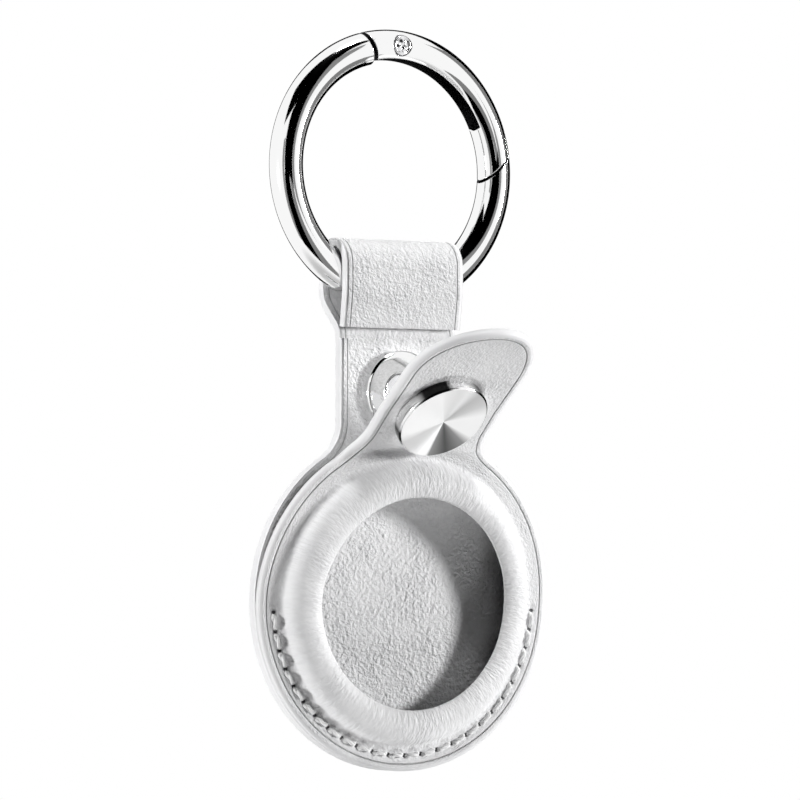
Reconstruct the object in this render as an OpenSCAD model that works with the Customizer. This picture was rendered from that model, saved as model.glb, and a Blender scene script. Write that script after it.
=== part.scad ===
// Tracker tag holder: a keyhole-shaped leather pouch for a round tag, with a snapped flap,
// hung by its strap loop from a sprung gate ring. The origin is the ring's centre, +Z is up,
// and the window side faces -Y. Drawn hanging, empty, with its flap unsnapped.

/* [Ring] */
// Diameter of the ring's centre line
ring_d = 30.8; // [29:0.1:33]
// Thickness of the ring's round section
wire_d = 4.2; // [3.8:0.1:4.5]
// Place of the gate's pin on the ring, in degrees from +X
pin_angle = 88.5; // [80:0.5:90]
// Diameter of the gate's pin
pin_d = 1.2; // [1:0.1:1.3]
// Diameter of the pin's flat head
pin_head_d = 2.5; // [2.2:0.1:2.8]
// Width of the slot in the gate that takes the tongue and the spring
slot_w = 2.6; // [2.4:0.1:2.8]
// Thickness of the ring's tongue inside the gate
tongue_t = 1; // [0.9:0.05:1.05]
// Wire thickness of the gate's spring
spring_d = 0.4; // [0.3:0.05:0.45]
// Reach of the gate's heel behind its pin
heel_reach = 3.7; // [3.4:0.1:4]
// Distance from the pin to the tip of the ring's outer lip
lip_reach = 18.7; // [18:0.1:19.2]
// Distance from the pin to the seat under the gate's nose
seat_reach = 20.7; // [20:0.1:21.5]
// Thickness of the outer lip that stops the gate
lip_t = 1.2; // [1:0.1:1.4]

/* [Leather] */
// Thickness of the outer leather, at the back and in the loop
leather_t = 1; // [0.8:0.1:1.2]
// Thickness of the inner lining
lining_t = 0.4; // [0.3:0.1:0.6]
// Thickness of the front cover and the flap
cover_t = 1.1; // [0.9:0.1:1.3]

/* [Pouch] */
// Diameter of the round pouch
body_d = 42; // [41:0.5:44]
// Width of the strap
strap_w = 17.2; // [16:0.1:18]
// Radius between the strap and the round back
strap_fillet = 5.5; // [4:0.5:7]
// Width of the flap's tab
tab_w = 17.1; // [16:0.1:19]
// Radius between the tab and the round front
tab_fillet = 6; // [4:0.5:7]
// Distance from the ring's plane back to the strap's back face, towards the front
hang_y = 0.6; // [0.4:0.1:0.9]

/* [Pocket] */
// Diameter of the round window
window_d = 26.8; // [25:0.1:27.4]
// Diameter of the raised ring at its foot
dome_d = 35.6; // [35:0.1:36]
// Diameter of the raised ring at its highest
crown_d = 30; // [29.5:0.1:30.5]
// Height of the raised ring above the flat edge
crown_h = 2.6; // [2.3:0.1:2.9]

/* [Loop] */
// Slack of the loop's hollow above the ring's wire
loop_slack = 3.45; // [3.4:0.05:3.8]
// Distance from the ring's wire down to the tip of the loop's hollow
tip_gap = 1.3; // [1.1:0.1:1.7]
// Height of the strap that is glued at the loop's end
glue_h = 1.2; // [1:0.1:2]
// Distance from the glued end down to the line where the strap flexes
flex_gap = 1; // [0.8:0.1:1.5]
// Distance from the flex line down to the socket's rim
socket_gap = 1.815; // [1.5:0.005:5]

/* [Flap] */
// Distance from the foot of the raised ring up to the flap's crease
crease_gap = 0.7; // [0.3:0.1:1.4]
// Distance from the crease up to the rim of the snap's cap, along the flap
cap_gap = 1.7; // [1.4:0.1:2.2]
// Height of the tab's round end above its snap, to the centre of the round
tip_up = 6.1; // [5.5:0.1:7.4]
// Radius of the curl in the tab's end
curl_r = 24; // [20:1:40]
// Lean of the cover's upper half as it hangs open, in degrees
flap_angle = 8; // [6:0.5:12]
// Lean of the tab as it hangs open, in degrees
tab_angle = 46; // [40:1:50]
// Furthest lean of the cover's upper half, in degrees
widest_angle = 25; // [20:1:26]

/* [Snap] */
// Diameter of the spun cap
cap_d = 11.8; // [11:0.1:12.4]
// Height of the spun cap above the leather
cap_h = 1.6; // [1.4:0.1:2]
// Diameter of the socket on the strap
socket_d = 10.5; // [9.8:0.1:11]
// Height of the socket above the strap
socket_h = 1; // [0.95:0.05:1.2]
// Diameter of the hole in the socket
socket_hole = 5.2; // [5:0.1:5.4]
// Diameter of the stud's round head
stud_d = 4.2; // [4:0.1:4.4]
// Diameter of the stud's flange
stud_flange_d = 7; // [6.5:0.1:7.5]
// Thickness of the stud's flange
stud_flange_t = 0.5; // [0.4:0.1:0.6]
// Height of the stud's head above its flange
stud_h = 0.65; // [0.5:0.05:0.7]
// Diameter of the rivet's flat back
rivet_back_d = 9; // [8:0.1:9.6]

/* [Stitching] */
// Thickness of the thread
thread_d = 0.6; // [0.5:0.05:0.7]
// Distance from the pouch's edge in to the row of stitches
stitch_inset = 1.96; // [1.7:0.01:2.1]
// Number of stitches round the lower half
stitch_count = 24; // [20:1:28]

/* [Hidden] */
$fn = 96;

// Overrun of every cut past the faces it goes through
over = 1;
// Reach of the blocks that cut a shape in two
far = 80;
// Running gap between the gate and the ring
gate_gap = 0.16;
// Running gap on each side of the tongue
tongue_gap = 0.1;
// Gap round the pin
pin_gap = 0.04;
// Depth of metal kept outside the gate's slot
slot_skin = 0.8;
// Distance from the pin to the far end of the slot
slot_reach = 15.5;
// Thickness of the pin's head
pin_head_t = 0.5;
// How far the pin's faces lie inside the ring's section
pin_inset = 0.1;
// Gap between the loop and the ring's wire
loop_gap = 0.15;
// Gap at each line where leather bends
bend_gap = 0.2;
// Gap that keeps a bending edge off the sheet behind it
soft_gap = 0.06;
// Gap between the closed stud's flange and the socket
seat_gap = 0.05;
// Gap between the lining's upper edge and the line where the strap flexes
lining_gap = 0.4;
// Turn of the heel's face from upright, in degrees
heel_turn = 24;
// Spare turn left in the cut between the two halves of the cover, in degrees
spare_turn = 2;
// Straight steps in the radius beside the strap, in the tab's round end and in the loop's bends
fillet_steps = 8;
tip_steps = 32;
loop_steps = 32;
// Share of the body's radius where the radius beside the strap starts
root_share = 0.96;
// Turn of the tab's curl as drawn before its end is cut, in degrees
curl_turn = 40;

ring_r = ring_d / 2;
wire_r = wire_d / 2;
pin_r = pin_d / 2;
pin_x = ring_r * cos(pin_angle);
pin_z = ring_r * sin(pin_angle);
lip_r = ring_r + wire_r - lip_t;
slot_floor = wire_r - slot_skin;
tongue_r = slot_floor - tongue_gap;

// Drops from the ring's centre: the top and the tip of the loop's hollow, its glued end, the flex line
loop_top = ring_r - wire_r - loop_slack;
loop_tip = ring_r + wire_r + tip_gap;
loop_end = loop_tip + glue_h;
flex_drop = loop_end + flex_gap;

back_y = -hang_y;
lining_y = back_y - leather_t;
inner_y = lining_y - lining_t;
front_y = inner_y - cover_t;
mid_y = (inner_y + front_y) / 2;
flex_y = (back_y + lining_y) / 2;

body_r = body_d / 2;
dome_r = dome_d / 2;
// Heights of the crease and of the snap above the pouch's centre, along the flap
crease_up = dome_r + crease_gap;
snap_up = crease_up + cap_d / 2 + cap_gap;
crown_r = crown_d / 2;
puff_r = (pow(dome_r - crown_r, 2) + pow(crown_h, 2)) / (2 * crown_h);
puff_z = crown_h - puff_r;
pocket_r = crown_r + puff_r - cover_t;

// Lean of the cover when its stud sits in the socket
snap_stack = socket_h + stud_flange_t + seat_gap;
shut_lean = asin(snap_stack / crease_up);
socket_z = -flex_drop - socket_gap - socket_d / 2;
body_z = socket_z - crease_up * cos(shut_lean) - snap_up + crease_up;
crease_z = body_z + crease_up;
snap_z = body_z + snap_up;
tip_z = snap_z + tip_up;

// Turns in the gate's spring
spring_turns = 2;
// Rings of the spring's tube in each turn, and sides of the tube
spring_steps = 12;
spring_sides = 6;
// Turn about the ring's centre that the spring's leg takes along the slot, in degrees, and its steps
spring_leg = 22;
leg_steps = 6;
// Gap between the spring's coil and the pin, and between its turns
coil_gap = 0.06;

coil_r = pin_r + coil_gap + spring_d / 2;
coil_pitch = spring_d + coil_gap;
coil_y = slot_w / 2 - tongue_gap - spring_d / 2;

// Places of the needle holes, from the left end round the bottom to the right end
stitch_r = body_r - stitch_inset;
stitch_end = 3.5;
// Depth and width of the groove that the stitches lie in
groove_depth = 0.4;
groove_w = 1;
// Share of the pitch that a stitch shows above the leather
stitch_share = 0.78;

// Height on the tab where its curl starts, just above the cap
curl_start = snap_z + cap_d / 2 + over;

// Wall of the spun cap and of the socket
shell_t = 0.35;
// Dip of the cap's face from its rim to its centre
cap_dip = 0.15;
// Radius and plate thickness of the post inside the cap
post_r = 1.3;
post_plate_t = 0.5;
// Radius of the rivet through the strap, thickness of its flat back and of its flared end
rivet_r = 1.6;
rivet_back_t = 0.5;
rivet_flare_r = 2.4;
rivet_flare_t = 0.25;
// Bevel round the socket's face and the cap's rim
bevel = 0.25;
// Thickness of the socket's spring wires, and their distance from its axis
snap_wire_d = 0.3;
snap_wire_x = stud_d / 2 + seat_gap + snap_wire_d / 2;
// Radius of the room inside the socket
socket_room_r = socket_hole / 2 + shell_t * 2;

// Draws a flat shape of the XZ plane from the plane y forwards by t
module sheet(y, t) {
    translate([0, y, 0]) rotate([90, 0, 0]) linear_extrude(t) children();
}

// Draws a side profile, Y across and Z up, over the width w
module across(w) {
    translate([-w / 2, 0, 0]) rotate([90, 0, 90]) linear_extrude(w) children();
}

// Turns a shape of revolution to point forwards from the point [0, y, z]
module facing(y, z) {
    translate([0, y, z]) rotate([90, 0, 0]) children();
}

// A block that holds all that lies above the height z
module above(z) {
    translate([-far / 2, -far / 2, z]) cube([far, far, far]);
}

// A block that holds all that lies below the height z
module below(z) {
    translate([-far / 2, -far / 2, z - far]) cube([far, far, far]);
}

// Leans a shape forwards by a degrees about the X axis through [0, y, z]
module lean(a, y, z) {
    translate([0, y, z]) rotate([a, 0, 0]) translate([0, -y, -z]) children();
}

// Puts a shape of the closed cover where the hanging cover is
module on_cover() {
    lean(flap_angle, mid_y, body_z) children();
}

// Puts a shape of the closed tab where the hanging tab is
module on_tab() {
    on_cover() lean(tab_angle - flap_angle, mid_y, crease_z) children();
}

// Points along an arc of radius r about c, from the angle a to b in n steps
function arc(c, r, a, b, n) =
    [for (i = [0 : n]) let (t = a + (b - a) * i / n) c + r * [cos(t), sin(t)]];

// Angle at which the line from p touches the circle of radius r about c, on the side s
function touch(p, c, r, s) = let (d = p - c) atan2(d[1], d[0]) + s * acos(r / norm(d));

// Outline of a round body of radius r with a strap of width w up to the height top, round or square
// at its end, and the radius f between the two
module keyhole(r, w, f, top, round_end) {
    reach = sqrt(pow(r + f, 2) - pow(w / 2 + f, 2));
    side = arc([w / 2 + f, reach], f, 180 + atan2(reach, w / 2 + f), 180, fillet_steps);
    root = side[0] * root_share;
    high = top - body_z;
    end = round_end ? arc([0, high], w / 2, 0, 180, tip_steps) : [[w / 2, high], [-w / 2, high]];
    right = concat([root], [for (i = [1 : fillet_steps]) side[i]]);
    left = [for (i = [fillet_steps : -1 : 0]) [-right[i][0], right[i][1]]];
    translate([0, body_z]) {
        circle(r);
        polygon(concat([[0, 0]], right, end, left));
    }
}

module ring_section(r) {
    rotate([90, 0, 0]) rotate_extrude() translate([ring_r, 0]) circle(r);
}

// Puts a flat shape of the ring's plane about the gate's pin
module at_pin() {
    translate([pin_x, pin_z]) children();
}

// Puts a shape of the XZ plane's front view about the gate's pin, facing forwards from the plane y
module facing_pin(y) {
    translate([pin_x, 0, pin_z]) facing(y, 0) children();
}

// The part of the ring's plane that the gate fills, grown by g
module gate_zone(g) {
    difference() {
        intersection() {
            at_pin() circle(seat_reach + g);
            at_pin() rotate(heel_turn) translate([-heel_reach - g, -far / 2]) square([far, far]);
        }
        difference() {
            square(far, center = true);
            circle(lip_r + g);
            at_pin() circle(lip_reach + g);
        }
    }
}

// The tongue's outline: a round end about the pin and an arm back along the ring
module tongue_outline() {
    at_pin() circle(tongue_r);
    intersection() {
        difference() {
            circle(ring_r + tongue_r);
            circle(ring_r - tongue_r);
        }
        at_pin() rotate(pin_angle) translate([-tongue_r, 0]) square([2 * tongue_r, heel_reach + wire_r]);
    }
}

module ring_body() {
    color([0.80, 0.80, 0.82]) difference() {
        union() {
            difference() {
                ring_section(wire_r);
                sheet(far / 2, far) gate_zone(gate_gap);
            }
            sheet(tongue_gap - slot_w / 2 + tongue_t, tongue_t) tongue_outline();
        }
        facing_pin(wire_r + over) cylinder(r = pin_r, h = wire_d + 2 * over);
    }
}

module ring_gate() {
    color([0.86, 0.86, 0.88]) difference() {
        intersection() {
            ring_section(wire_r);
            sheet(far / 2, far) gate_zone(0);
        }
        sheet(slot_w / 2, slot_w) intersection() {
            circle(ring_r + slot_floor);
            at_pin() circle(slot_reach);
        }
        facing_pin(wire_r + over) cylinder(r = pin_r + pin_gap, h = wire_d + 2 * over);
        facing_pin(pin_inset + pin_head_t - wire_r)
            cylinder(r = pin_head_d / 2 + pin_gap, h = pin_head_t + over);
    }
}

module gate_pin() {
    color([0.62, 0.62, 0.64]) {
        facing_pin(wire_r - pin_inset) cylinder(r = pin_r, h = wire_d - 2 * pin_inset);
        facing_pin(pin_inset + pin_head_t - wire_r - pin_gap)
            cylinder(d = pin_head_d, h = pin_head_t - pin_gap);
    }
}

// Centre line of the spring: a coil round the pin, then a leg along the slot
function spring_line() = concat(
    [for (i = [0 : spring_turns * spring_steps])
        let (a = pin_angle - 360 * i / spring_steps)
        [coil_r * cos(a), coil_y - coil_pitch * i / spring_steps, coil_r * sin(a)]],
    [for (i = [1 : leg_steps])
        let (a = pin_angle - spring_leg * i / leg_steps, r = ring_r + coil_r)
        [r * cos(a) - pin_x, coil_y - coil_pitch * spring_turns, r * sin(a) - pin_z]]);

function unit(v) = v / norm(v);
// Direction of the line p at its point i
function heading(p, i) = unit(p[min(i + 1, len(p) - 1)] - p[max(i - 1, 0)]);

// A round tube of radius r with n sides along the points p
module tube_along(p, r, n) {
    rings = [for (i = [0 : len(p) - 1])
        let (t = heading(p, i), u = unit(cross(t, [0, 1, 0])), v = cross(u, t))
        for (k = [0 : n - 1]) p[i] + r * (u * cos(360 * k / n) + v * sin(360 * k / n))];
    sides = [for (i = [0 : len(p) - 2]) for (k = [0 : n - 1]) for (h = [0, 1])
        let (a = i * n + k, b = i * n + (k + 1) % n)
        h == 0 ? [a, b, a + n] : [b, b + n, a + n]];
    ends = [[for (k = [n - 1 : -1 : 0]) k], [for (k = [0 : n - 1]) (len(p) - 1) * n + k]];
    polyhedron(rings, concat(sides, ends));
}

module gate_spring() {
    color([0.55, 0.55, 0.57]) translate([pin_x, 0, pin_z])
        tube_along(spring_line(), spring_d / 2, spring_sides);
}

// Side profile of the loop: a round bend above, a rounder one below, and a foot at the points given
module loop_profile(r, feet) {
    high = [0, -loop_top - wire_r - loop_gap];
    low = [0, -ring_r];
    steps = loop_steps / 4;
    first = touch(feet[0], low, r, 1);
    last = touch(feet[len(feet) - 1], low, r, -1);
    polygon(concat(arc(high, r, 180, 0, loop_steps), arc(low, r, 0, first, steps),
                   feet, arc(low, r, last, -180, steps)));
}

module strap_loop() {
    hollow_r = wire_r + loop_gap;
    foot = [[back_y, -loop_end], [back_y, -flex_drop], [lining_y, -flex_drop], [lining_y, -loop_end],
            [lining_y - leather_t, -loop_end]];
    color([0.90, 0.90, 0.90]) across(strap_w) difference() {
        loop_profile(hollow_r + leather_t, foot);
        loop_profile(hollow_r, [[lining_y, -loop_tip]]);
        translate([flex_y, -flex_drop]) circle(leather_t / 2 + bend_gap);
    }
}

// A flat-bottomed ring groove about the pouch's centre, cut forwards from the plane y by t
module stitch_groove(y, t) {
    intersection() {
        facing(y, body_z) difference() {
            cylinder(r = stitch_r + groove_w / 2, h = t);
            translate([0, 0, -over]) cylinder(r = stitch_r - groove_w / 2, h = t + 2 * over);
        }
        below(body_z - stitch_r * sin(stitch_end) + groove_w);
    }
}

// One row of stitches, with the thread's centre in the plane y
module stitch_row(y) {
    step = (180 - 2 * stitch_end) / stitch_count;
    long = 2 * stitch_r * sin(step / 2) * stitch_share - thread_d;
    for (i = [0 : stitch_count - 1]) {
        turn = 180 - stitch_end - (i + 0.5) * step;
        translate([0, y, body_z]) rotate([0, turn, 0]) translate([stitch_r, 0, -long / 2]) {
            cylinder(d = thread_d, h = long);
            sphere(d = thread_d);
            translate([0, 0, long]) sphere(d = thread_d);
        }
    }
}

module rear_panel() {
    color([0.91, 0.91, 0.91]) difference() {
        union() {
            sheet(back_y, leather_t) keyhole(body_r, strap_w, strap_fillet, -flex_drop, false);
            across(strap_w) translate([flex_y, -flex_drop]) circle(leather_t / 2 - soft_gap);
        }
        facing(back_y + over, socket_z) cylinder(r = rivet_r, h = leather_t + 2 * over);
        facing(back_y + over, socket_z) cylinder(r = rivet_back_d / 2, h = rivet_back_t + over);
        stitch_groove(back_y + over, groove_depth + over + thread_d / 2);
    }
}

module rear_lining() {
    color([0.88, 0.88, 0.88]) difference() {
        sheet(lining_y, lining_t) keyhole(body_r, strap_w, strap_fillet, -flex_drop - lining_gap, false);
        facing(lining_y + over, socket_z) cylinder(r = rivet_r, h = lining_t + 2 * over);
    }
}

// The whole front cover lying closed: a flat edge, a raised ring and the open window
module cover_sheet() {
    difference() {
        sheet(inner_y, cover_t) keyhole(body_r, tab_w, tab_fillet, crease_z + over, false);
        facing(inner_y + over, body_z) cylinder(r = pocket_r, h = cover_t + 2 * over);
    }
    facing(front_y, body_z) rotate_extrude() intersection() {
        translate([crown_r, puff_z]) difference() {
            circle(puff_r);
            circle(puff_r - cover_t);
        }
        translate([window_d / 2, puff_z]) square([body_r, crown_h + over]);
    }
}

// A rod of radius r along the line where the cover's upper half turns, outside the pocket
module cover_rod(r) {
    difference() {
        across(body_d) translate([mid_y, body_z]) circle(r);
        facing(inner_y + over, body_z) cylinder(r = pocket_r, h = cover_t + 2 * over);
    }
}

module cover_lower() {
    color([0.92, 0.92, 0.92]) difference() {
        intersection() {
            cover_sheet();
            below(body_z);
        }
        across(body_d + 2 * over) translate([mid_y, body_z]) circle(cover_t / 2 + bend_gap);
        stitch_groove(front_y + groove_depth, groove_depth + over);
    }
}

module cover_upper() {
    color([0.93, 0.93, 0.93]) on_cover() {
        difference() {
            intersection() {
                cover_sheet();
                above(body_z);
            }
            across(body_d + 2 * over) translate([mid_y, body_z])
                polygon([[0, 0], [-far, 0], [-far, far * tan(widest_angle + spare_turn)]]);
            above(crease_z);
            across(body_d) translate([mid_y, crease_z]) circle(cover_t / 2 + bend_gap);
        }
        cover_rod(cover_t / 2 - soft_gap);
    }
}

module flap_tab() {
    curl = [mid_y - curl_r, curl_start];
    color([0.92, 0.92, 0.92]) on_tab() difference() {
        intersection() {
            sheet(inner_y + over, far) difference() {
                keyhole(body_r, tab_w, tab_fillet, tip_z, true);
                translate([-far / 2, crease_z - cover_t - far]) square([far, far]);
            }
            across(far) polygon(concat(arc([mid_y, crease_z], cover_t / 2, 0, -180, fillet_steps),
                                       arc(curl, curl_r - cover_t / 2, 0, curl_turn, fillet_steps),
                                       arc(curl, curl_r + cover_t / 2, curl_turn, 0, fillet_steps)));
        }
        facing(inner_y + over, snap_z) cylinder(r = post_r, h = cover_t + 2 * over);
    }
}

module stitching_front() {
    color([0.97, 0.97, 0.97]) stitch_row(front_y + groove_depth - thread_d / 2);
}

module stitching_back() {
    color([0.97, 0.97, 0.97]) stitch_row(back_y - groove_depth);
}

// The spun cap: a shallow cone inside a rim, folded round the post's plate
module snap_cap() {
    rim = cap_d / 2;
    color([0.85, 0.85, 0.86]) on_tab() facing(front_y, snap_z) rotate_extrude() polygon([
        [0, cap_h - cap_dip], [rim - bevel, cap_h], [rim, cap_h - bevel], [rim, 0], [rim - shell_t, 0],
        [rim - shell_t, cap_h - bevel - shell_t], [0, cap_h - cap_dip - shell_t]]);
}

// The cap's post, through the tab and into the stud
module cap_post() {
    deep = cover_t + stud_flange_t;
    color([0.70, 0.70, 0.72]) on_tab() {
        facing(front_y, snap_z) cylinder(r = cap_d / 2 - shell_t, h = post_plate_t);
        facing(front_y + deep, snap_z) cylinder(r = post_r, h = deep + post_plate_t / 2);
    }
}

// The stud under the tab, with a necked head that springs into the socket
module snap_stud() {
    head = stud_d / 2;
    rim = stud_flange_d / 2;
    top = stud_flange_t + stud_h;
    color([0.78, 0.78, 0.80]) on_tab() translate([0, inner_y, snap_z]) rotate([-90, 0, 0]) rotate_extrude()
        polygon([[0, stud_flange_t], [post_r, stud_flange_t], [post_r, 0], [rim, 0],
                 [rim, stud_flange_t / 2], [rim - stud_flange_t / 2, stud_flange_t],
                 [head - bevel, stud_flange_t],
                 [head, stud_flange_t + stud_h / 2], [head - bevel, top], [0, top]]);
}

// The socket on the strap: a bevelled disc, hollow inside, with a round hole in its face
module snap_socket() {
    rim = socket_d / 2;
    hole = socket_hole / 2;
    roof = socket_h - shell_t;
    color([0.84, 0.84, 0.86]) facing(inner_y, socket_z) rotate_extrude()
        polygon([[rivet_flare_r, 0], [rim, 0], [rim, socket_h - bevel], [rim - bevel, socket_h],
                 [hole + bevel / 2, socket_h], [hole, socket_h - bevel / 2], [hole, roof],
                 [socket_room_r, roof], [socket_room_r, rivet_flare_t], [rivet_flare_r, rivet_flare_t]]);
}

// Two straight spring wires in the socket's room, one on each side of the stud
module socket_springs() {
    high = socket_h - shell_t - snap_wire_d / 2;
    long = 2 * sqrt(pow(socket_room_r, 2) - pow(snap_wire_x + snap_wire_d / 2, 2));
    color([0.60, 0.60, 0.62]) for (s = [-1, 1])
        translate([s * snap_wire_x, inner_y - high, socket_z - long / 2])
            cylinder(d = snap_wire_d, h = long);
}

// The rivet that holds the socket: a flat back sunk flush in the leather, a stem and a flared end
module socket_rivet() {
    deep = leather_t + lining_t;
    color([0.82, 0.82, 0.84]) {
        facing(back_y, socket_z) cylinder(r = rivet_back_d / 2, h = rivet_back_t);
        facing(back_y, socket_z) cylinder(r = rivet_r, h = deep + rivet_flare_t);
        facing(inner_y, socket_z) cylinder(r = rivet_flare_r, h = rivet_flare_t);
    }
}

ring_body();
ring_gate();
gate_pin();
gate_spring();
strap_loop();
rear_panel();
rear_lining();
cover_lower();
cover_upper();
flap_tab();
stitching_front();
stitching_back();
snap_cap();
cap_post();
snap_stud();
snap_socket();
socket_springs();
socket_rivet();
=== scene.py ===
from math import atan2, cos, degrees, hypot, pi, radians, sin, sqrt, tan, tau

import bpy
import numpy as np
from mathutils import Matrix, Vector, noise


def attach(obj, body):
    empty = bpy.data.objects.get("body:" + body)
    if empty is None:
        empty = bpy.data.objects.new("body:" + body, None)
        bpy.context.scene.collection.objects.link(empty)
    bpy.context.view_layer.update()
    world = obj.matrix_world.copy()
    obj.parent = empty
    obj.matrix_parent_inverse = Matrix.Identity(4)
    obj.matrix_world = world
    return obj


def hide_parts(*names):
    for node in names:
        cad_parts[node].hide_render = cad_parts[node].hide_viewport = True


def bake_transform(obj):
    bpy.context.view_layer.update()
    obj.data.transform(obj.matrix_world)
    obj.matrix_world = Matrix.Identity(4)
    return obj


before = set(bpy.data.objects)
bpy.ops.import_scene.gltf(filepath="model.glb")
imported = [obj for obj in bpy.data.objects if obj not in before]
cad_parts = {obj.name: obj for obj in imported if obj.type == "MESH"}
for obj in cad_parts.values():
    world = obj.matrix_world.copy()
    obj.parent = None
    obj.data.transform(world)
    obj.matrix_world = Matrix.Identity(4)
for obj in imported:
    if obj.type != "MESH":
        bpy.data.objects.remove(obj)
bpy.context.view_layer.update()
bpy.context.scene.view_settings.view_transform = "Standard"

# The camera stands a little to the left of the window side and just below the middle,
# 0.6 m away, as in the photograph. All lengths below are in millimetres until MM.
MM = 0.001
LOOK_FROM = radians(-32.6)
LOOK_UP = radians(-1.8)
look = Vector((-sin(LOOK_FROM) * cos(LOOK_UP), cos(LOOK_FROM) * cos(LOOK_UP), -sin(LOOK_UP)))
look_right = look.cross(Vector((0, 0, 1))).normalized()
aim = Vector((0, 0, -29)) + 1.1 * look_right + 0.1 * look_right.cross(look)
bpy.ops.object.camera_add(location=(aim - 600 * look) * MM, rotation=look.to_track_quat("-Z", "Y").to_euler())
camera = bpy.context.object
camera.name = "camera"
camera.data.lens = 216
camera.data.sensor_width = 36
camera.data.clip_start = 0.01
camera.data.clip_end = 20
bpy.context.scene.camera = camera


# Back leather: a keyhole-shaped panel of white synthetic leather whose strap goes up behind the
# ring, over it and down in front, where its end is glued to its own face. It bends below the glue.
BODY_Z = -54.1
BODY_R = 21.0
STRAP_W = 17.2
BACK_MID = -1.1
STRAP_TOP = 34.1
LOOP_R = 2.75
STITCH_R = 19.04
STITCHES = 24
STITCH_END = radians(3.5)
SAME_PLACE = 0.000001


def arc(centre, radius, start, end, count):
    """Points along an arc, start and end in radians."""
    angles = np.linspace(start, end, count)
    return np.stack([centre[0] + radius * np.cos(angles), centre[1] + radius * np.sin(angles)], 1)


def evenly(points, count):
    """The same line with its points spread evenly."""
    points = np.asarray(points, float)
    steps = np.r_[0, np.cumsum(np.linalg.norm(np.diff(points, axis=0), axis=1))]
    at = np.linspace(0, steps[-1], count)
    return np.stack([np.interp(at, steps, points[:, i]) for i in range(points.shape[1])], 1)


def ease(low, high, value):
    """0 before low, 1 after high, smooth between them."""
    t = np.clip((np.asarray(value, float) - low) / (high - low), 0, 1)
    return t * t * (3 - 2 * t)


def right_side(width, fillet, start, top):
    """The right-hand edge of a keyhole, from the angle start on the round body up to the height top."""
    reach = sqrt((BODY_R + fillet) ** 2 - (width / 2 + fillet) ** 2)
    turn = atan2(reach, width / 2 + fillet)
    return np.concatenate([
        arc((0, 0), BODY_R, start, turn, 90),
        arc((width / 2 + fillet, reach), fillet, pi + turn, pi, 30)[1:],
        [[width / 2, top]]])


def laid_out(name, points, merge=False):
    """A grid of faces whose rows and columns are laid on the given points."""
    rows, columns = points.shape[:2]
    bpy.ops.object.select_all(action="DESELECT")
    bpy.ops.mesh.primitive_grid_add(x_subdivisions=columns - 1, y_subdivisions=rows - 1, size=1)
    piece = bpy.context.object
    piece.name = piece.data.name = name
    piece.data.vertices.foreach_set("co", (points * MM).astype(np.float32).ravel())
    for layer in list(piece.data.uv_layers):
        piece.data.uv_layers.remove(layer)
    piece["merge"] = merge
    return piece


def keep_value(piece, name, values):
    """Stores one number, or one vector, for each point, for the material to read."""
    values = np.asarray(values, np.float32)
    vector = values.ndim > 1 and values.shape[-1] == 3
    layer = piece.data.attributes.new(name, "FLOAT_VECTOR" if vector else "FLOAT", "POINT")
    layer.data.foreach_set("vector" if vector else "value", values.ravel())


def only(piece):
    bpy.ops.object.select_all(action="DESELECT")
    piece.select_set(True)
    bpy.context.view_layer.objects.active = piece


def finish_modifier(piece, kind, **settings):
    only(piece)
    bpy.ops.object.modifier_add(type=kind)
    modifier = piece.modifiers[-1]
    for key, value in settings.items():
        setattr(modifier, key, value)
    bpy.ops.object.modifier_apply(modifier=modifier.name)


def cut_from_hide(piece, thickness, offset, edge, lined=0):
    """Gives a laid-out sheet its thickness, rounds its painted edges and merges faces of no area.
    lined is the material of its back."""
    only(piece)
    if piece["merge"]:
        bpy.ops.object.mode_set(mode="EDIT")
        bpy.ops.mesh.select_all(action="SELECT")
        bpy.ops.mesh.remove_doubles(threshold=0.000002)
        bpy.ops.object.mode_set(mode="OBJECT")
    finish_modifier(piece, "SOLIDIFY", thickness=thickness * MM, offset=offset, use_even_offset=True,
                    material_offset=lined)
    finish_modifier(piece, "BEVEL", width=edge * MM, segments=3, limit_method="ANGLE", angle_limit=radians(50))
    bpy.ops.object.mode_set(mode="EDIT")
    bpy.ops.mesh.select_all(action="SELECT")
    bpy.ops.mesh.remove_doubles(threshold=SAME_PLACE)
    bpy.ops.mesh.dissolve_degenerate(threshold=SAME_PLACE)
    bpy.ops.object.mode_set(mode="OBJECT")
    only(piece)
    bpy.ops.object.shade_smooth()


def material(name):
    stuff = bpy.data.materials.new(name)
    stuff.use_nodes = True
    stuff.node_tree.nodes.clear()
    return stuff


def node(tree, kind, inputs=None, **settings):
    made = tree.nodes.new("ShaderNode" + kind)
    for key, value in settings.items():
        setattr(made, key, value)
    for key, value in (inputs or {}).items():
        if isinstance(value, bpy.types.NodeSocket):
            tree.links.new(value, made.inputs[key])
        else:
            made.inputs[key].default_value = value
    return made


def maths(tree, how, *values):
    """One step of arithmetic on numbers or sockets."""
    made = tree.nodes.new("ShaderNodeMath")
    made.operation = how
    for i, value in enumerate(values):
        if isinstance(value, bpy.types.NodeSocket):
            tree.links.new(value, made.inputs[i])
        else:
            made.inputs[i].default_value = value
    return made.outputs[0]


def between(tree, value, low, high, start=0.0, end=1.0):
    """start below low, end above high, smooth between them."""
    return node(tree, "MapRange", {"Value": value, "From Min": low, "From Max": high, "To Min": start,
                                   "To Max": end}, interpolation_type="SMOOTHSTEP").outputs["Result"]


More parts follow.
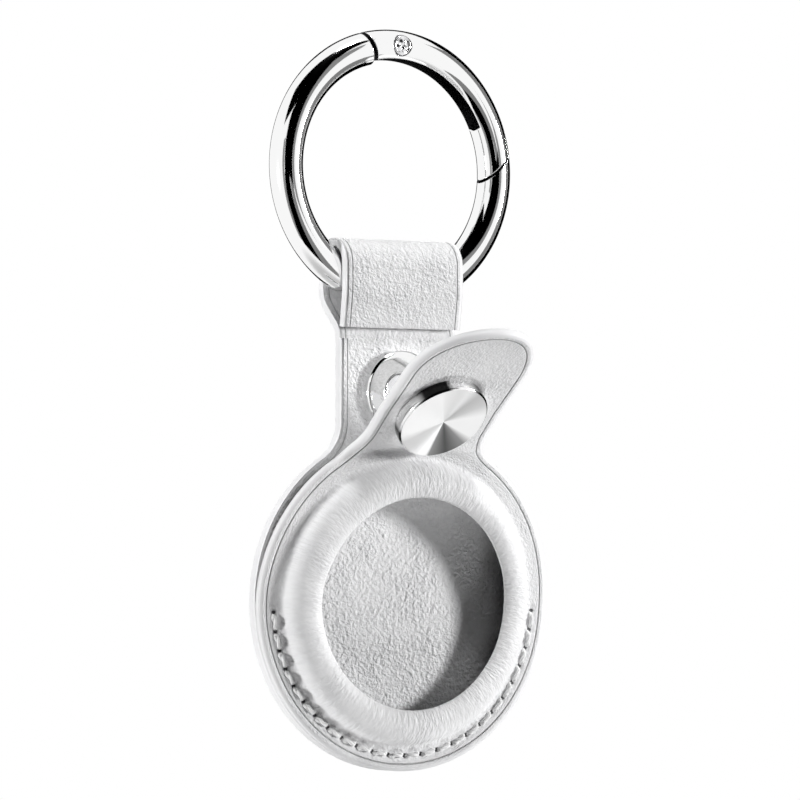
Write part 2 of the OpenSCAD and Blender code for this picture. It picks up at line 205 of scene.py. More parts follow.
def leather(name, pebble, depth, colour, crease_depth=0.8, stitched=False):
    """White synthetic leather: pressed pebbles, fine creases, a pressed line inside the edge and smooth painted
    edges, with painted shade darkening the hollows between pebbles, the pressed line and the needle holes of
    stitched leather. pebble is the size of a pebble in millimetres, depth how strong it is."""
    stuff = material(name)
    tree = stuff.node_tree
    grain = node(tree, "Attribute", attribute_name="grain").outputs["Vector"]
    inset = node(tree, "Attribute", attribute_name="inset").outputs["Fac"]
    fold = node(tree, "Attribute", attribute_name="fold").outputs["Fac"]
    wander = node(tree, "TexNoise", {"Vector": grain, "Scale": 0.9, "Detail": 2.0, "Roughness": 0.5})
    shifted = node(tree, "VectorMath", {0: grain, 1: wander.outputs["Color"]}, operation="ADD").outputs[0]
    cells = node(tree, "TexVoronoi", {"Vector": shifted, "Scale": 1 / pebble, "Randomness": 1.0,
                                      "Smoothness": 0.5}, feature="SMOOTH_F1").outputs["Distance"]
    grit = node(tree, "TexNoise", {"Vector": grain, "Scale": 1.15 / pebble, "Detail": 2.5, "Roughness": 0.55,
                                   "Distortion": 0.3}).outputs["Fac"]
    crinkle = node(tree, "TexNoise", {"Vector": grain, "Scale": 1.5, "Detail": 5.0, "Roughness": 0.62,
                                      "Distortion": 0.5}).outputs["Fac"]
    fine = node(tree, "TexNoise", {"Vector": grain, "Scale": 9.0, "Detail": 3.0, "Roughness": 0.6}).outputs["Fac"]
    broad = node(tree, "TexNoise", {"Vector": grain, "Scale": 0.22, "Detail": 2.0, "Roughness": 0.5}).outputs["Fac"]
    painted = between(tree, inset, 0.1, 0.42, 0.0, 1.0)
    line = maths(tree, "SUBTRACT", 1.0, between(tree, maths(tree, "ABSOLUTE", maths(
        tree, "SUBTRACT", inset, 0.86)), 0.03, 0.13))
    dome = maths(tree, "MULTIPLY", maths(tree, "SUBTRACT", 0.7, cells), 0.9)
    patch = between(tree, broad, 0.35, 0.65, 0.55, 1.0)
    height = maths(tree, "ADD", maths(tree, "ADD", dome, maths(tree, "MULTIPLY", grit, 1.9)), maths(
        tree, "MULTIPLY", fine, 0.3))
    height = maths(tree, "MULTIPLY", height, maths(tree, "MULTIPLY", patch, painted))
    deep = maths(tree, "MULTIPLY", maths(tree, "MULTIPLY", crinkle, 2.6), fold)
    height = maths(tree, "ADD", height, maths(tree, "MULTIPLY", deep, painted))
    pressed = maths(tree, "MULTIPLY", line, crease_depth)
    height = maths(tree, "SUBTRACT", height, maths(tree, "MULTIPLY", pressed, 2.0))
    # The pressed line inside the edge is darkened in colour: painted shade in its groove.
    painted_shade = maths(tree, "MULTIPLY", pressed, 0.55)
    if stitched:
        place = node(tree, "SeparateXYZ", {0: node(tree, "TexCoord").outputs["Object"]})
        down = maths(tree, "SUBTRACT", BODY_Z * MM, place.outputs["Z"])
        turn = maths(tree, "ARCTAN2", down, place.outputs["X"])
        radius = maths(tree, "SQRT", maths(tree, "ADD", maths(tree, "MULTIPLY", down, down), maths(
            tree, "MULTIPLY", place.outputs["X"], place.outputs["X"])))
        pitch = (pi - 2 * STITCH_END) / STITCHES
        round_to = maths(tree, "PINGPONG", maths(tree, "SUBTRACT", turn, STITCH_END), pitch / 2)
        along = maths(tree, "MULTIPLY", round_to, STITCH_R)
        across = maths(tree, "SUBTRACT", maths(tree, "MULTIPLY", radius, 1 / MM), STITCH_R)
        away = maths(tree, "SQRT", maths(tree, "ADD", maths(tree, "MULTIPLY", along, along), maths(
            tree, "MULTIPLY", across, across)))
        inside = maths(tree, "MULTIPLY", maths(tree, "GREATER_THAN", turn, STITCH_END - 0.01), maths(
            tree, "LESS_THAN", turn, pi - STITCH_END + 0.01))
        hole = maths(tree, "MULTIPLY", maths(tree, "SUBTRACT", 1.0, between(tree, away, 0.16, 0.34)), inside)
        height = maths(tree, "SUBTRACT", height, maths(tree, "MULTIPLY", hole, 4.0))
        # The needle holes are darkened almost to black: painted shade in the holes.
        painted_shade = maths(tree, "MAXIMUM", painted_shade, maths(tree, "MULTIPLY", hole, 0.93))
    bump = node(tree, "Bump", {"Height": height, "Distance": depth * MM, "Strength": 1.0})
    shade = node(tree, "MixRGB", {"Fac": between(tree, broad, 0.3, 0.7), "Color1": (*colour, 1),
                                  "Color2": (colour[0] * 0.965, colour[1] * 0.965, colour[2] * 0.97, 1)})
    # Painted shade: the colour is darkened in the hollows between the pebbles.
    shade = node(tree, "MixRGB", {"Fac": maths(tree, "MULTIPLY", maths(tree, "MULTIPLY", between(
        tree, cells, 0.35, 0.8), painted), 0.1), "Color1": shade.outputs[0], "Color2": (0.45, 0.45, 0.46, 1)})
    # Painted shade: the pressed line and the needle holes take a near-black colour.
    shade = node(tree, "MixRGB", {"Fac": painted_shade, "Color1": shade.outputs[0], "Color2": (0.05, 0.05, 0.055, 1)})
    rough = between(tree, fine, 0.3, 0.7, 0.44, 0.58)
    skin = node(tree, "BsdfPrincipled", {"Base Color": shade.outputs[0], "Roughness": rough,
                                         "Normal": bump.outputs["Normal"], "Specular IOR Level": 0.25,
                                         "Sheen Weight": 0.05, "Sheen Roughness": 0.4})
    out = node(tree, "OutputMaterial")
    tree.links.new(skin.outputs[0], out.inputs["Surface"])
    return stuff


def keyhole_sheet(width, fillet, top, across, along):
    """Rows of points that fill a keyhole: its straight strap, and its round body without a pole."""
    corner = radians(-38)
    side = evenly(right_side(width, fillet, corner, top), along)
    left = side * [-1, 1]
    bottom = evenly(arc((0, 0), BODY_R, pi - corner, tau + corner, 200), across)
    u = np.linspace(0, 1, across)[None, :, None]
    sag = bottom[None] - ((1 - u) * left[0] + u * side[0])
    fade = (1 - ease(0, 0.62 * (BODY_R * 2.6), np.linspace(0, 1, along) * np.linalg.norm(
        np.diff(side, axis=0), axis=1).sum()))[:, None, None]
    flat = (1 - u) * left[:, None] + u * side[:, None] + fade * sag
    return flat, side


def inset_of(flat, side):
    """Distance of each point from the keyhole's edge."""
    edge = np.concatenate([side, arc((0, 0), BODY_R, radians(-90), radians(-38), 80)])
    points = np.stack([np.abs(flat[..., 0]), flat[..., 1]], -1).reshape(-1, 1, 2)
    nearest = np.concatenate([
        np.linalg.norm(points[i:i + 2000] - edge[None], axis=2).min(1) for i in range(0, len(points), 2000)])
    return nearest.reshape(flat.shape[:2])


def rear_line():
    """Middle of the strap's thickness as (y, z), from the body's bottom up, over the ring and down again."""
    low, high = (0, -15.4), (0, -12.1)
    line = np.concatenate([
        [[BACK_MID, BODY_Z - BODY_R], [BACK_MID, -20.3]],
        arc(low, LOOP_R, radians(-49), 0, 30), arc(high, LOOP_R, 0, pi, 60), arc(low, LOOP_R, pi, radians(188.4), 10),
        [[-2.1, -20.0]]])
    line = evenly(line, 4000)
    soft = np.ones(81) / 81
    middle = np.stack([np.convolve(line[:, i], soft, "valid") for i in (0, 1)], 1)
    return np.concatenate([line[:40], middle, line[-40:]])


rear_path = rear_line()
rear_steps = np.r_[0, np.cumsum(np.linalg.norm(np.diff(rear_path, axis=0), axis=1))] - BODY_R
rear_length = rear_steps[-1]
flat, side = keyhole_sheet(STRAP_W, 5.5, rear_length, 113, 270)
y, z = (np.interp(flat[..., 1], rear_steps, column) for column in rear_path.T)
rear = laid_out("rear_leather", np.stack([flat[..., 0], y, z], -1))
past_glue = ease(STRAP_TOP + 1, STRAP_TOP + 4, flat[..., 1])
keep_value(rear, "grain", np.stack([flat[..., 0], flat[..., 1], 0 * y], -1))
keep_value(rear, "inset", inset_of(flat, side))
front_of_loop = ease(-1.0, -2.6, y) * ease(-18.5, -15.0, z) * past_glue
keep_value(rear, "fold", 0.16 * past_glue + 0.75 * front_of_loop * (1 - ease(-10.8, -9.6, z)))
only(rear)
bpy.ops.object.mode_set(mode="EDIT")
bpy.ops.mesh.select_all(action="SELECT")
bpy.ops.mesh.flip_normals()
bpy.ops.object.mode_set(mode="OBJECT")
cut_from_hide(rear, 1.0, 0, 0.26)
for point in rear.data.vertices:
    x, y, z = (c / MM for c in point.co)
    if y > BACK_MID + 0.2 and z < BODY_Z:
        groove = max(0.0, 1 - ((hypot(x, z - BODY_Z) - STITCH_R) / 0.62) ** 2)
        point.co.y -= 0.62 * MM * sqrt(groove)
rear.data.materials.append(leather("rear leather", 0.46, 0.1, (0.84, 0.84, 0.845)))
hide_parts("rear_panel", "strap_loop")
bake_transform(rear)


# Lining: a thinner keyhole of coarser-grained white leather, glued over the back leather. It is the
# floor of the pocket and the front of the strap, and stops below the loop's glued end.
flat, side = keyhole_sheet(STRAP_W, 5.5, 32.7, 105, 200)
lining = laid_out("rear_lining_leather", np.stack([flat[..., 0], 0 * flat[..., 0] - 2.0, flat[..., 1] + BODY_Z], -1))
keep_value(lining, "grain", np.stack([flat[..., 0], flat[..., 1], 0 * flat[..., 0] + 40], -1))
keep_value(lining, "inset", inset_of(flat, side))
keep_value(lining, "fold", 0.2 + 0 * flat[..., 0])
cut_from_hide(lining, 0.4, -1, 0.1)
lining.data.materials.append(leather("lining leather", 0.56, 0.15, (0.87, 0.87, 0.875), 0.5))
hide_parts("rear_lining")
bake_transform(lining)


# Front cover and flap: one piece of white leather, pressed to a raised ring round the window. Its lower
# half is sewn down, its upper half leans open, and its tab is folded forwards at a crease.
COVER_T = 1.1
COVER_MID = -2.55
TAB_W = 17.1
SNAP_S = 26.1
TAB_ROUND_S = SNAP_S + 6.1
CURL_R = 24.0
CREASE_S = 18.5
CURL_S = 33.0
COVER_LEAN = 8
TAB_LEAN = 46
TAB_CUT_S = 16.7
COLUMNS = 416
DOME_CENTRE, DOME_R = (15.0, -0.208), 2.808
FOOT_CENTRE, FOOT_R = (18.54, 0.9), 0.9


def lean_at(s):
    """How far the cover leans forwards at the height s, in degrees."""
    return (COVER_LEAN * ease(-4, 4, s) + (TAB_LEAN - COVER_LEAN) * ease(CREASE_S - 1.3, CREASE_S + 1.3, s)
            + np.degrees(np.maximum(np.asarray(s, float) - CURL_S, 0) / CURL_R))


STEP_S = 0.02
cover_s = np.arange(-22, 46, STEP_S)
cover_lean = np.radians(lean_at(cover_s))
cover_y = COVER_MID - np.cumsum(np.sin(cover_lean)) * STEP_S
cover_z = np.cumsum(np.cos(cover_lean)) * STEP_S
cover_z += BODY_Z - np.interp(0, cover_s, cover_z)


def cloth(name, colour):
    """Knitted cloth on the leather's reverse side."""
    stuff = material(name)
    tree = stuff.node_tree
    place = node(tree, "TexCoord").outputs["Object"]
    knit = node(tree, "TexVoronoi", {"Vector": place, "Scale": 2600.0, "Randomness": 0.7}).outputs["Distance"]
    bump = node(tree, "Bump", {"Height": knit, "Distance": 0.00006, "Strength": 1.0})
    tone = node(tree, "MixRGB", {"Fac": knit, "Color1": (*colour, 1), "Color2": (*(c * 0.6 for c in colour), 1)})
    felt = node(tree, "BsdfPrincipled", {"Base Color": tone.outputs[0], "Roughness": 0.9, "Specular IOR Level": 0.1,
                                         "Normal": bump.outputs["Normal"]})
    out = node(tree, "OutputMaterial")
    tree.links.new(felt.outputs[0], out.inputs["Surface"])
    return stuff


def on_cover(x, s, out):
    """A point of the folded cover: x across, s up along the leather, out in front of its mid-thickness."""
    lean = np.interp(s, cover_s, cover_lean)
    sway = 0.35 * ease(CREASE_S - 2, CREASE_S + 9, s) + 0.11 * np.maximum(s - SNAP_S, 0)
    return np.stack([x + sway, np.interp(s, cover_s, cover_y) - out * np.cos(lean),
                     np.interp(s, cover_s, cover_z) - out * np.sin(lean)], -1)


half = np.concatenate([right_side(TAB_W, 6.0, radians(-90), TAB_ROUND_S),
                       arc((0, TAB_ROUND_S), TAB_W / 2, 0, pi / 2, 40)[1:]])
outline = evenly(np.concatenate([half, (half * [-1, 1])[::-1][1:]]), COLUMNS + 1)
along = np.roll(outline[:-1], -1, 0) - np.roll(outline[:-1], 1, 0)
along = np.concatenate([along, along[:1]])
along /= np.linalg.norm(along, axis=1)[:, None]
inward = np.stack([-along[:, 1], along[:, 0]], 1)
insets = [0, 0.34, 0.6, 0.74, 0.86, 0.98, 1.15, 1.45, 1.75, 1.96, 2.2, 2.4]
rows, heights, from_edge = [], [], []
for inset in insets:
    rows.append(outline + inward * inset)
    heights.append(np.full(COLUMNS + 1, -0.09 if inset == 0.86 else 0.0))
    from_edge.append(np.full(COLUMNS + 1, inset))
last = rows[-1]
turn = np.unwrap(np.arctan2(last[:, 1], last[:, 0]))
foot = FOOT_CENTRE[0] * np.stack([np.cos(turn), np.sin(turn)], 1)
INNER_ROWS = 26
for i in range(1, INNER_ROWS + 1):
    share = (1 - i / INNER_ROWS) ** 1.35
    rows.append(foot + (last - foot) * share)
    heights.append(np.zeros(COLUMNS + 1))
    from_edge.append(np.full(COLUMNS + 1, 2.4 + 3 * i / INNER_ROWS))
profile = np.concatenate([arc(FOOT_CENTRE, FOOT_R, radians(270), radians(197.4), 7)[1:],
                          arc(DOME_CENTRE, DOME_R, radians(17.4), radians(124.7), 20)[1:]])
for radius, height in profile:
    rows.append(radius * np.stack([np.cos(turn), np.sin(turn)], 1))
    heights.append(np.full(COLUMNS + 1, height))
    from_edge.append(np.full(COLUMNS + 1, 6.0))
flat, height, from_edge = np.array(rows), np.array(heights), np.array(from_edge)
radius = np.hypot(flat[..., 0], flat[..., 1])
angle = np.arctan2(-flat[..., 1], flat[..., 0])
sewn = ease(STITCH_END - 0.09, STITCH_END, angle) * ease(pi - STITCH_END + 0.09, pi - STITCH_END, angle)
step = (pi - 2 * STITCH_END) / STITCHES
to_hole = (np.mod(angle - STITCH_END + step / 2, step) - step / 2) * STITCH_R
height -= sewn * 0.1 * np.exp(-((radius - STITCH_R) / 0.36) ** 2)
height -= sewn * 0.14 * np.exp(-((radius - STITCH_R) / 0.3) ** 2 - (to_hole / 0.4) ** 2)
bumps = np.array([noise.noise(Vector((p[0] * 0.16, p[1] * 0.16, 3.0))) + 0.5 * noise.noise(
    Vector((p[0] * 0.42, p[1] * 0.42, 9.0))) for p in flat.reshape(-1, 2)]).reshape(radius.shape)
bumps[:, -1] = bumps[:, 0]
height += 0.11 * bumps * ease(21, 18, radius) * ease(2.4, 5.0, from_edge)
cover = laid_out("cover_leather", on_cover(flat[..., 0], flat[..., 1], height + COVER_T / 2), merge=True)
polar = np.stack([15.6 * flat[..., 0] / radius, 15.6 * flat[..., 1] / radius, radius * 0.42], -1)
plain = np.stack([flat[..., 0], flat[..., 1], 0 * radius + 7.5], -1)
mix = ease(17.5, 21.5, radius)[..., None]
keep_value(cover, "grain", polar * (1 - mix) + plain * mix)
keep_value(cover, "inset", from_edge)
keep_value(cover, "fold", 0.05 + 0.22 * np.exp(-((flat[..., 1] - 18.0) / 1.5) ** 2) * (np.abs(flat[..., 0]) < 8)
           + 0.3 * np.exp(-((flat[..., 1] - SNAP_S - 6.6) / 0.7) ** 2 - ((flat[..., 0] - 1.0) / 3.0) ** 2))
keep_value(cover, "height_along", flat[..., 1])
cover.data.materials.append(leather("cover leather", 0.42, 0.085, (0.84, 0.84, 0.845), 0.8, stitched=True))
# The cover's reverse gets near-black cloth so that the pocket seen through the window stays dark: painted shade.
cover.data.materials.append(cloth("pocket cloth in painted shade", (0.05, 0.05, 0.053)))
cut_from_hide(cover, COVER_T, -1, 0.3, lined=1)
normals = [tuple(n.vector) for n in cover.data.vertex_normals]
cover.data.normals_split_custom_set_from_vertices(normals)
level = np.zeros(len(cover.data.vertices), np.float32)
cover.data.attributes["height_along"].data.foreach_get("value", level)
only(cover)
bpy.ops.object.mode_set(mode="EDIT")
bpy.ops.mesh.select_mode(type="FACE")
bpy.ops.mesh.select_all(action="DESELECT")
bpy.ops.object.mode_set(mode="OBJECT")
for face in cover.data.polygons:
    face.select = bool(level[list(face.vertices)].min() > TAB_CUT_S)
bpy.ops.object.mode_set(mode="EDIT")
bpy.ops.mesh.separate(type="SELECTED")
bpy.ops.object.mode_set(mode="OBJECT")
tab = [o for o in bpy.context.selected_objects if o is not cover][0]
tab.name = tab.data.name = "tab_leather"
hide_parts("cover_lower", "cover_upper")
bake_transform(cover)
tab.data.materials[1] = cloth("flap lining", (0.8, 0.8, 0.8))
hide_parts("flap_tab")
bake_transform(tab)


# Stitching: white twisted thread in 24 slanted stitches round the lower half, each pulled down into
# its needle holes. The same row shows at the back, sunk in a groove.
THREAD_R = 0.2
STITCH_LONG = 2.35
PLY_TWIST = 0.15


def stitch(name):
    """One stitch along X at the origin, of two twisted plies, bowed up towards -Y."""
    plies = []
    for ply in range(2):
        bpy.ops.object.select_all(action="DESELECT")
        bpy.ops.mesh.primitive_cylinder_add(vertices=9, radius=1, depth=1, end_fill_type="TRIFAN")
        strand = bpy.context.object
        bpy.ops.object.mode_set(mode="EDIT")
        bpy.ops.mesh.select_all(action="DESELECT")
        bpy.ops.mesh.select_mode(type="EDGE")
        bpy.ops.object.mode_set(mode="OBJECT")
        for edge in strand.data.edges:
            a, b = (strand.data.vertices[i].co for i in edge.vertices)
            edge.select = abs(a.z - b.z) > 0.5
        bpy.ops.object.mode_set(mode="EDIT")
        bpy.ops.mesh.subdivide(number_cuts=15)
        bpy.ops.object.mode_set(mode="OBJECT")
        for point in strand.data.vertices:
            t = point.co.z
            end = min(1.0, abs(2 * t))
            thick = THREAD_R * max(0.25, (1 - end ** 5) ** 0.5)
            phase = tau * (0.9 * t + ply / 2)
            over = PLY_TWIST * (1 - 0.6 * end ** 3)
            point.co = Vector((t * STITCH_LONG, -(0.12 - 0.5 * end ** 4) + over * cos(phase) + thick * point.co.x,
                               over * 0.9 * sin(phase) + thick * point.co.y)) * MM
        plies.append(strand)
    for strand in plies:
        strand.select_set(True)
    bpy.context.view_layer.objects.active = plies[0]
    bpy.ops.object.join()
    made = bpy.context.object
    made.name = made.data.name = name
    only(made)
    bpy.ops.object.shade_smooth()
    return made


def stitch_row(name, level, facing):
    """Twenty-four copies of the stitch round the lower half, joined to one piece."""
    first = stitch(name)
    row = []
    for i in range(STITCHES):
        place = STITCH_END + (i + 0.5) * (pi - 2 * STITCH_END) / STITCHES
        copy = first.copy()
        copy.data = first.data.copy()
        bpy.context.collection.objects.link(copy)
        wobble = noise.noise(Vector((i * 1.7, level, 0.3)))
        turned = Matrix.Rotation(-(pi / 2 - place) - facing * radians(7 + 5 * wobble), 4, "Y")
        where = Matrix.Translation(Vector((STITCH_R * cos(place), level, BODY_Z - STITCH_R * sin(place))) * MM)
        copy.data.transform(where @ turned @ Matrix.Scale(facing, 4, Vector((0, 1, 0))))
        if facing < 0:
            copy.data.flip_normals()
        row.append(copy)
    bpy.data.objects.remove(first)
    bpy.ops.object.select_all(action="DESELECT")
    for copy in row:
        copy.select_set(True)
    bpy.context.view_layer.objects.active = row[0]
    bpy.ops.object.join()
    made = bpy.context.object
    made.name = made.data.name = name
    return made


def thread(name):
    """Twisted white thread with fine fibres across its plies."""
    stuff = material(name)
    tree = stuff.node_tree
    place = node(tree, "TexCoord").outputs["Object"]
    fibres = node(tree, "TexNoise", {"Vector": place, "Scale": 9000.0, "Detail": 3.0, "Roughness": 0.7}).outputs["Fac"]
    tone = node(tree, "MixRGB", {"Fac": fibres, "Color1": (0.72, 0.72, 0.72, 1), "Color2": (0.95, 0.95, 0.95, 1)})
    bump = node(tree, "Bump", {"Height": fibres, "Distance": 0.00004, "Strength": 1.0})
    yarn = node(tree, "BsdfPrincipled", {"Base Color": tone.outputs[0], "Roughness": 0.6, "Sheen Weight": 0.2,
                                         "Sheen Roughness": 0.4, "Normal": bump.outputs["Normal"],
                                         "Specular IOR Level": 0.3})
    out = node(tree, "OutputMaterial")
    tree.links.new(yarn.outputs[0], out.inputs["Surface"])
    return stuff


white_thread = thread("white thread")
for name, level, facing, solid in (("front_stitches", -3.06, 1, "stitching_front"),
                                   ("back_stitches", -0.98, -1, "stitching_back")):
    row = stitch_row(name, level, facing)
    row.data.materials.append(white_thread)
    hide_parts(solid)
    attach(row, "pouch")


# Snap fastener: a spun cap on the tab with its post and necked stud, and a bevelled socket riveted
# through the strap with two spring wires inside. All plated brass, the cap and socket polished.
CAP_R = 5.9
CAP_H = 1.6
CAP_FACE_Z = 1.3
SOCKET_R = 5.25
SOCKET_Z = -28.065


def turned(name, profile, steps=128):
    """A closed shape turned about Z: a ring is drawn at the profile's first radius and height, then
    pulled and resized along the profile. A radius of 0 closes to a point."""
    bpy.ops.object.select_all(action="DESELECT")
    radius, height = max(profile[0][0], 0.0001), profile[0][1]
    bpy.ops.mesh.primitive_circle_add(vertices=steps, radius=radius * MM, location=(0, 0, height * MM))
    piece = bpy.context.object
    bpy.ops.object.transform_apply(location=True)
    bpy.ops.object.mode_set(mode="EDIT")
    bpy.ops.mesh.select_all(action="SELECT")
    for next_radius, next_height in profile[1:]:
        bpy.ops.mesh.extrude_region_move(TRANSFORM_OT_translate={"value": (0, 0, (next_height - height) * MM)})
        share = max(next_radius, 0.0001) / radius
        bpy.ops.transform.resize(value=(share, share, 1), center_override=(0, 0, next_height * MM))
        radius, height = max(next_radius, 0.0001), next_height
    bpy.ops.mesh.select_all(action="SELECT")
    bpy.ops.mesh.remove_doubles(threshold=0.000001)
    bpy.ops.mesh.normals_make_consistent(inside=False)
    bpy.ops.object.mode_set(mode="OBJECT")
    piece.name = piece.data.name = name
    only(piece)
    bpy.ops.object.shade_smooth_by_angle(angle=radians(32))
    return piece


def rounded(profile, radius, steps=4):
    """The same profile with its inner corners rounded by short arcs."""
    out = [profile[0]]
    for before, corner, after in zip(profile, profile[1:], profile[2:]):
        a, c, b = (Vector(p) for p in (before, corner, after))
        cut = min(radius, (a - c).length * 0.45, (b - c).length * 0.45)
        start, end = c + (a - c).normalized() * cut, c + (b - c).normalized() * cut
        for i in range(steps + 1):
            t = i / steps
            out.append(tuple(start * (1 - t) ** 2 + c * 2 * t * (1 - t) + end * t * t))
    out.append(profile[-1])
    return out


def polished(name, tint=(0.93, 0.93, 0.93), rough=0.045, scuff=0.03):
    """Plated and polished metal with faint smears."""
    stuff = material(name)
    tree = stuff.node_tree
    place = node(tree, "TexCoord").outputs["Object"]
    smear = node(tree, "TexNoise", {"Vector": place, "Scale": 160.0, "Detail": 4.0, "Roughness": 0.6}).outputs["Fac"]
    shine = between(tree, smear, 0.35, 0.75, rough, rough + scuff)
    wave = node(tree, "Bump", {"Height": smear, "Distance": 0.000012, "Strength": 0.5})
    metal = node(tree, "BsdfPrincipled", {"Base Color": (*tint, 1), "Metallic": 1.0, "Roughness": shine,
                                          "Normal": wave.outputs["Normal"]})
    out = node(tree, "OutputMaterial")
    tree.links.new(metal.outputs[0], out.inputs["Surface"])
    return stuff


def spun(name, steps, rough, grooved):
    """Metal turned on a lathe: fine circular marks, and bright and dark fans painted into its colour as
    painted reflections, listed in steps as (place round the turn, tone). grooved is how strongly the marks spread the
    light."""
    stuff = material(name)
    tree = stuff.node_tree
    part = node(tree, "SeparateXYZ", {0: node(tree, "UVMap", uv_map="spun").outputs["UV"]})
    rings = node(tree, "TexNoise", {"W": maths(tree, "MULTIPLY", part.outputs["Y"], 260.0), "Scale": 1.0,
                                    "Detail": 3.0}, noise_dimensions="1D").outputs["Fac"]
    bump = node(tree, "Bump", {"Height": rings, "Distance": 0.000012, "Strength": 0.5})
    # The bright and dark fans are painted reflections in the colour, placed by angle round the turn.
    fans = node(tree, "ValToRGB", {0: maths(tree, "FRACT", part.outputs["X"])})
    ramp = fans.color_ramp
    for at, tone in steps[2:]:
        ramp.elements.new(at)
    for stop, (at, tone) in zip(ramp.elements, steps):
        stop.position = at
        stop.color = (tone, tone, tone, 1)
    painted_fans_and_marks = maths(tree, "MULTIPLY", fans.outputs["Color"], maths(
        tree, "ADD", 0.94, maths(tree, "MULTIPLY", rings, 0.08)))
    along = node(tree, "Tangent", direction_type="UV_MAP", uv_map="spun").outputs["Tangent"]
    metal = node(tree, "BsdfPrincipled", {"Base Color": painted_fans_and_marks, "Metallic": 1.0, "Roughness": rough,
                                          "Anisotropic": grooved, "Anisotropic Rotation": 0.25,
                                          "Normal": bump.outputs["Normal"], "Tangent": along})
    out = node(tree, "OutputMaterial")
    tree.links.new(metal.outputs[0], out.inputs["Surface"])
    return stuff


def put(piece, matrix):
    piece.data.transform(matrix)
    piece.data.update()
    return piece


lean = radians(TAB_LEAN)
crease = Vector((0, COVER_MID - CREASE_S * sin(radians(COVER_LEAN)), BODY_Z + CREASE_S * cos(radians(COVER_LEAN))))
snap = crease + (SNAP_S - CREASE_S) * Vector((0, -sin(lean), cos(lean)))
out_of_tab = Vector((0, -cos(lean), -sin(lean)))
tab_front = Matrix.Translation((snap + COVER_T / 2 * out_of_tab) * MM) @ Matrix.Rotation(lean + pi / 2, 4, "X")
tab_back = Matrix.Translation((snap - COVER_T / 2 * out_of_tab) * MM) @ Matrix.Rotation(lean - pi / 2, 4, "X")
on_strap = Matrix.Translation(Vector((0, -2.0, SOCKET_Z)) * MM) @ Matrix.Rotation(pi / 2, 4, "X")
behind_strap = Matrix.Translation(Vector((0, -0.6, SOCKET_Z)) * MM) @ Matrix.Rotation(pi / 2, 4, "X")

chrome = polished("chrome")
plate = polished("nickel plate", (0.7, 0.7, 0.71), 0.16, 0.12)
cap = turned("cap_shell", rounded([(0, 1.1), (5.4, 1.25), (5.55, 0.02), (CAP_R, 0.02), (CAP_R, CAP_H - 0.22),
                                   (CAP_R - 0.2, CAP_H), (CAP_R - 0.42, CAP_H), (0, CAP_H - 0.16)], 0.1), 160)
marks = cap.data.uv_layers.new(name="spun")
for loop in cap.data.loops:
    place = cap.data.vertices[loop.vertex_index].co
    marks.data[loop.index].uv = (0.5 + atan2(place.y, place.x) / tau, hypot(place.x, place.y) / MM / 10)
for face in cap.data.polygons:
    middle = 0.5 + atan2(face.center.y, face.center.x) / tau
    for i in face.loop_indices:
        uv = marks.data[i].uv
        if uv.y < 0.0001:
            uv.x = middle
        uv.x += round(middle - uv.x)
# Painted reflections round the cap: bright, grey and black tones by angle on its wall and its face.
WALL_PAINTED_REFLECTIONS = ((0, 0.9), (0.035, 0.9), (0.055, 0.02), (0.095, 0.02), (0.12, 0.95), (0.5, 0.9), (0.585, 0.9),
              (0.615, 0.02), (0.665, 0.02), (0.69, 0.75), (0.74, 0.98), (0.78, 0.95), (0.8, 0.02), (0.885, 0.02),
              (0.915, 0.85), (1, 0.95))
FACE_PAINTED_REFLECTIONS = ((0, 1), (0.07, 1), (0.11, 0.74), (0.2, 0.78), (0.232, 1), (0.247, 1), (0.258, 0.3), (0.325, 0.1),
              (0.395, 0.3), (0.43, 0.93), (0.54, 0.95), (0.6, 0.62), (0.66, 0.5), (0.76, 0.72), (0.81, 0.86), (0.83, 1))
cap.data.materials.append(spun("cap wall", WALL_PAINTED_REFLECTIONS, 0.06, 0))
cap.data.materials.append(spun("spun face", FACE_PAINTED_REFLECTIONS, 0.32, 0.9))
for face in cap.data.polygons:
    face.material_index = 1 if face.normal.z > 0.9 and face.center.z > CAP_FACE_Z * MM else 0
put(cap, tab_front)
post = put(turned("post_rivet", rounded([(0, -1.6), (1.25, -1.6), (1.3, -1.5), (1.3, 0), (5.5, 0), (5.5, 0.45),
                                         (1.6, 0.5), (0, 0.9)], 0.12), 64), tab_front)
post.data.materials.append(plate)
stud = put(turned("stud_head", rounded([
    (0, 0.5), (1.3, 0.5), (1.3, 0), (3.5, 0), (3.5, 0.22), (3.2, 0.48), (1.95, 0.5), (1.82, 0.6), (2.1, 0.85),
    (2.02, 1.08), (1.7, 1.15), (0, 1.12)], 0.08), 96), tab_back)
stud.data.materials.append(polished("stud plate", (0.76, 0.76, 0.77), 0.1, 0.1))
for piece, solid in ((cap, "snap_cap"), (post, "cap_post"), (stud, "snap_stud")):
    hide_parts(solid)
    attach(piece, "tab")
socket = put(turned("socket_ring", rounded([
    (2.4, 0), (SOCKET_R, 0), (SOCKET_R, 0.72), (SOCKET_R - 0.26, 0.98), (SOCKET_R - 0.7, 1.0), (2.95, 1.0), (2.62, 0.9),
    (2.6, 0.65), (3.3, 0.62), (3.3, 0.25), (2.4, 0.25), (2.4, 0)], 0.1), 160), on_strap)
socket.data.materials.append(chrome)
rivet = put(turned("socket_rivet_head", rounded([
    (0, 0), (4.4, 0), (4.5, 0.08), (4.5, 0.5), (1.6, 0.5), (1.6, 1.4), (2.38, 1.4), (2.38, 1.58), (2.2, 1.65),
    (0.9, 1.62), (0.7, 1.2), (0, 1.15)], 0.08), 96), behind_strap)
rivet.data.materials.append(plate)
wires = []
